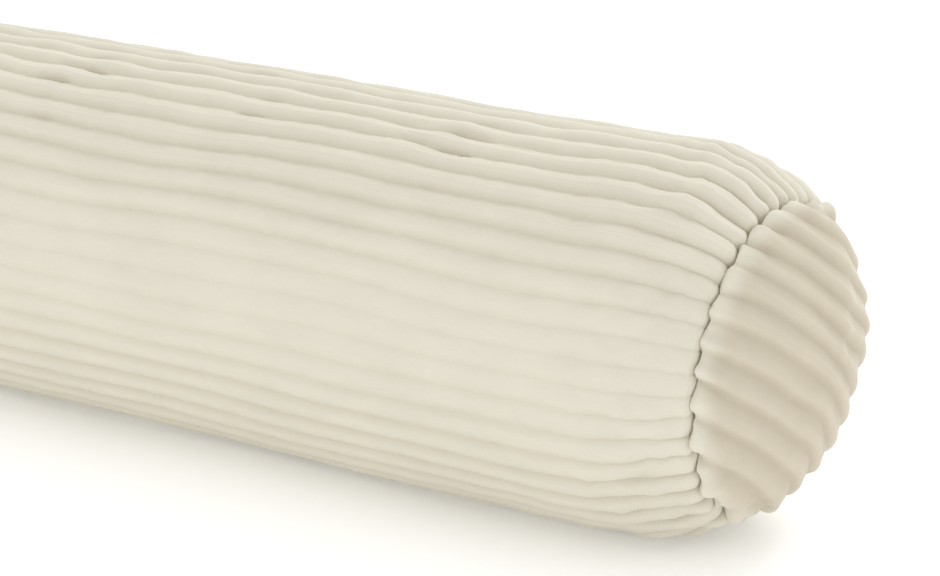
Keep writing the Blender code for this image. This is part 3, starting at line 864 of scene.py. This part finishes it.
def weave_group():
    """Plain weave: two sets of threads that pass over each other in turn, counted along and across."""
    n, given, result = new_group("plain weave", {"Along": "Float", "Across": "Float", "Vector": "Vector",
                                                 "Thread": "Color", "Gap": "Color"},
                                 {"Colour": "Color", "Roughness": "Float", "Height": "Float"})
    along = n.math("SINE", n.math("MULTIPLY", given["Along"], pi))
    across = n.math("SINE", n.math("MULTIPLY", given["Across"], pi))
    over = n.math("ABSOLUTE", n.math("MULTIPLY", along, across))
    uneven = n.ranged(n.noise(given["Vector"], 220, 2), 0.3, 0.7, 0.93, 1.05)
    colour = n.mix(n.math("POWER", over, 0.5), given["Gap"], given["Thread"])
    n.put(result["Colour"], n.brighten(colour, uneven))
    n.put(result["Roughness"], n.ranged(over, 0.0, 1.0, 0.95, 0.78))
    n.put(result["Height"], over)
    return n.tree


def handling_group():
    """Marks of handling on a hard finish: fine scratches and cloudy patches."""
    n, given, result = new_group("handling marks", {"Vector": "Vector", "Colour": "Color", "Worn": "Color"},
                                 {"Colour": "Color", "Roughness": "Float", "Height": "Float"})
    scratches = n.noise(n.stretch(given["Vector"], (0.08, 1, 1)), 5000, 2, 0.6)
    cloudy = n.noise(given["Vector"], 260, 3, 0.6)
    n.put(result["Colour"], n.mix(n.ranged(cloudy, 0.42, 0.66, 0.0, 0.6), given["Colour"], given["Worn"]))
    n.put(result["Roughness"], n.math("ADD", n.ranged(cloudy, 0.3, 0.7, 0.20, 0.38),
                                      n.ranged(scratches, 0.45, 0.7, 0.0, 0.10)))
    n.put(result["Height"], scratches)
    return n.tree


def finish(name, bump_distance, bump_strength, **constants):
    """A material with a Principled shader whose constant sockets are set, and a Bump ready for a
    height."""
    made = bpy.data.materials.new(name)
    made.use_nodes = True
    n = Nodes(made.node_tree)
    shader = made.node_tree.nodes["Principled BSDF"]
    for key, value in constants.items():
        shader.inputs[key.replace("_", " ")].default_value = value
    bump = n.add("Bump")
    bump.inputs["Distance"].default_value = bump_distance
    bump.inputs["Strength"].default_value = bump_strength
    n.put(shader.inputs["Normal"], bump.outputs["Normal"])
    coordinates = n.add("TexCoord").outputs["Object"]
    return made, n, shader.inputs, bump.inputs["Height"], coordinates


def corduroy_finish(name, crest, valley, turn):
    """Corduroy with painted shade in its valleys and a painted highlight on its top crests. The ends get a
    darker, warmer copy as painted shade, with the tube's colours where it is turned in to a seam, painted
    there as a lit strip.
    """
    made, n, shader, height, coordinates = finish(
        name, 0.0005, 0.35, Sheen_Weight=SHEEN, Sheen_Roughness=SHEEN_SPREAD, Sheen_Tint=SHEEN_TINT,
        Specular_IOR_Level=0.15)
    rib = n.add("Attribute", attribute_name="rib").outputs["Fac"]
    # edge mask: a painted lit strip by an end's seam, in the tube's lighter colours
    edge = n.add("Attribute", attribute_name="edge").outputs["Fac"]
    pile = n.place(PILE, Vector=n.stretch(coordinates, (1, 1, 1), turn), Rib=rib,
                   Crest=n.mix(edge, crest, TUBE_CREST), Valley=n.mix(edge, valley, TUBE_SHADED_VALLEY))
    n.put(shader["Base Color"], pile["Colour"])
    n.put(shader["Roughness"], pile["Roughness"])
    n.put(height, pile["Height"])
    return made


def woven_finish(name, thread, gap, per_metre, turn, round_tube=False):
    """Plain weave along the pillow and across it or, on a tube, round it."""
    made, n, shader, height, coordinates = finish(name, 0.0002, 0.5, Sheen_Weight=0.15)
    placed = n.stretch(coordinates, (1, 1, 1), turn)
    split = n.add("SeparateXYZ")
    n.put(split.inputs[0], placed)
    across = split.outputs["Y"]
    if round_tube:
        angle = n.math("ARCTAN2", n.math("SUBTRACT", split.outputs["Z"], AXIS_Z), across)
        across = n.math("MULTIPLY", angle, RADIUS)
    weave = n.place(WEAVE, Along=n.math("MULTIPLY", split.outputs["X"], per_metre),
                    Across=n.math("MULTIPLY", across, per_metre), Vector=placed, Thread=thread, Gap=gap)
    n.put(shader["Base Color"], weave["Colour"])
    n.put(shader["Roughness"], weave["Roughness"])
    n.put(height, weave["Height"])
    return made


def hard_finish(name, colour, worn, **constants):
    """Metal or nylon with the marks of handling."""
    made, n, shader, height, coordinates = finish(name, 0.00005, 0.25, **constants)
    marks = n.place(HANDLING, Vector=coordinates, Colour=colour, Worn=worn)
    n.put(shader["Base Color"], marks["Colour"])
    n.put(shader["Roughness"], marks["Roughness"])
    n.put(height, marks["Height"])
    return made


def thread_finish():
    """Twisted thread: slanted strands, slightly lighter than the cloth."""
    made, n, shader, height, coordinates = finish("spun thread", 0.0001, 0.6, Sheen_Weight=0.2)
    strands = n.add("TexWave", wave_type="BANDS", bands_direction="DIAGONAL")
    n.put(strands.inputs["Vector"], coordinates)
    strands.inputs["Scale"].default_value = 900
    strands.inputs["Distortion"].default_value = 1.0
    n.put(shader["Base Color"], n.mix(strands.outputs["Fac"], THREAD_DARK, THREAD_LIGHT))
    n.put(shader["Roughness"], n.ranged(strands.outputs["Fac"], 0.0, 1.0, 0.80, 0.60))
    n.put(height, strands.outputs["Fac"])
    return made


def fibre_finish():
    """White hollow fibre: soft tangled strands over a shaded ground."""
    made, n, shader, height, coordinates = finish("hollow fibre", 0.002, 0.8, Sheen_Weight=0.3)
    tangle = n.noise(n.stretch(coordinates, (0.5, 1, 1.4)), 180, 6, 0.7)
    n.put(shader["Base Color"], n.mix(n.ranged(tangle, 0.35, 0.65, 0.0, 1.0), FIBRE_DARK, FIBRE_LIGHT))
    n.put(shader["Roughness"], n.ranged(tangle, 0.3, 0.7, 1.0, 0.85))
    n.put(height, tangle)
    return made


def floor_finish():
    """A pale floor with the faintest haze, which glows a little."""
    made, n, shader, height, coordinates = finish("white floor", 0.0002, 0.05)
    haze = n.noise(coordinates, 3, 2)
    n.put(shader["Base Color"], n.mix(haze, FLOOR_DARK, FLOOR_LIGHT))
    n.put(shader["Roughness"], n.ranged(haze, 0.3, 0.7, 0.85, 0.95))
    n.put(height, haze)
    shader["Emission Color"].default_value = WHITE
    shader["Emission Strength"].default_value = FLOOR_GLOW
    return made


# ---------------------------------------------------------------- stage

def add_light(name, place, target, size, watts):
    """A white disk of light that faces its target."""
    light = bpy.data.lights.new(name, "AREA")
    light.shape = "DISK"
    light.size = size
    light.energy = watts
    obj = bpy.data.objects.new(name, light)
    obj.location = place
    obj.rotation_euler = (Vector(place) - Vector(target)).to_track_quat("Z", "Y").to_euler()
    bpy.context.scene.collection.objects.link(obj)


def stage():
    """A wide white floor in even white light, with a soft key from the front left and a rim light from
    above and behind."""
    half = 12
    corners = [(-half, -half, 0), (half, -half, 0), (half, half, 0), (-half, half, 0)]
    floor = new_piece("floor", corners, [(0, 1, 2, 3)])
    floor.data.materials.append(floor_finish())
    world = bpy.data.worlds.new("studio")
    world.use_nodes = True
    world.node_tree.nodes["Background"].inputs["Color"].default_value = WHITE
    world.node_tree.nodes["Background"].inputs["Strength"].default_value = SKY
    bpy.context.scene.world = world
    add_light("key", (-0.9, -2.8, 1.3), (0.1, 0, 0.1), 1.8, KEY_WATTS)
    add_light("rim", (0.5, 2.2, 2.0), (0.1, 0, 0.1), 1.4, RIM_WATTS)
    bpy.context.scene.view_settings.view_transform = "Standard"


# ---------------------------------------------------------------- the pillow put together

add_camera()
PILE, WEAVE, HANDLING = pile_group(), weave_group(), handling_group()
ZIP_TURN = (ZIP_ANGLE - pi / 2, 0, 0)
corduroy = corduroy_finish("corduroy along the nap", TUBE_CREST, TUBE_SHADED_VALLEY, (0, 0, 0))
# the ends' copy: darker, warmer colours as painted shade, the ends facing away from the key light
end_corduroy = corduroy_finish("corduroy painted in shade for the ends", SHADED_END_CREST, SHADED_END_VALLEY, (RIB_SLOPE, 0, 0))
cotton = woven_finish("unbleached cotton", COTTON, COTTON_GAP, COTTON_THREADS, (0, 0, 0), True)
tape = woven_finish("zip tape", TAPE, TAPE_GAP, TAPE_THREADS, ZIP_TURN)
thread = thread_finish()
fibre = fibre_finish()
nickel = hard_finish("nickel plate", NICKEL, NICKEL_WORN, Metallic=1.0)
nylon = hard_finish("nylon coil", NYLON, NYLON_WORN, Coat_Weight=0.15)

blown = Blown()
tube = cover_tube(blown)
dress(tube, corduroy)
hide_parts("cover_tube")
for word, side in (("right", 1), ("left", -1)):
    end = cover_end("corduroy_end_" + word, side, blown)
    dress(end, end_corduroy)
    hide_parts("cover_end_" + word)

casing = closed_inside("cotton_casing_tube", inside_tube("casing", CASING_INSET))
dress(casing, cotton)
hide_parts("casing_tube")
for word, side in (("right", 1), ("left", -1)):
    end = closed_inside("cotton_casing_end_" + word, inside_end(side, "casing end", CASING_INSET))
    dress(end, cotton)
    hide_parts("casing_end_" + word)
filling = closed_inside("fibre_filling", inside_tube("filling", FILLING_INSET))
dress(filling, fibre)
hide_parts("fibre_fill")

for word, side in (("upper", -1), ("lower", 1)):
    coil = zip_coil("zip_coil_" + word, "zip_teeth_" + word, side)
    dress(coil, nylon)
    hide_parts("zip_teeth_" + word)
stitching = zip_stitching()
dress(stitching, thread)
slider = rounded_copy("zip_slider_body", "zip_slider", 0.00012)
dress(slider, nickel, "slider")
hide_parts("zip_slider")
pull = rounded_copy("zip_pull_tab", "zip_pull", 0.00015)
dress(pull, nickel, "pull")
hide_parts("zip_pull")
for material, words in ((tape, ("zip_tape_upper", "zip_tape_lower")),
                        (nickel, ("zip_bottom_stop", "zip_top_stop_upper", "zip_top_stop_lower")),
                        (thread, ("end_seam_thread_right", "end_seam_thread_left", "long_seam_thread_right",
                                  "long_seam_thread_left", "casing_thread_right", "casing_thread_left"))):
    for word in words:
        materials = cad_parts[word].data.materials
        materials.clear()
        materials.append(material)
stage()
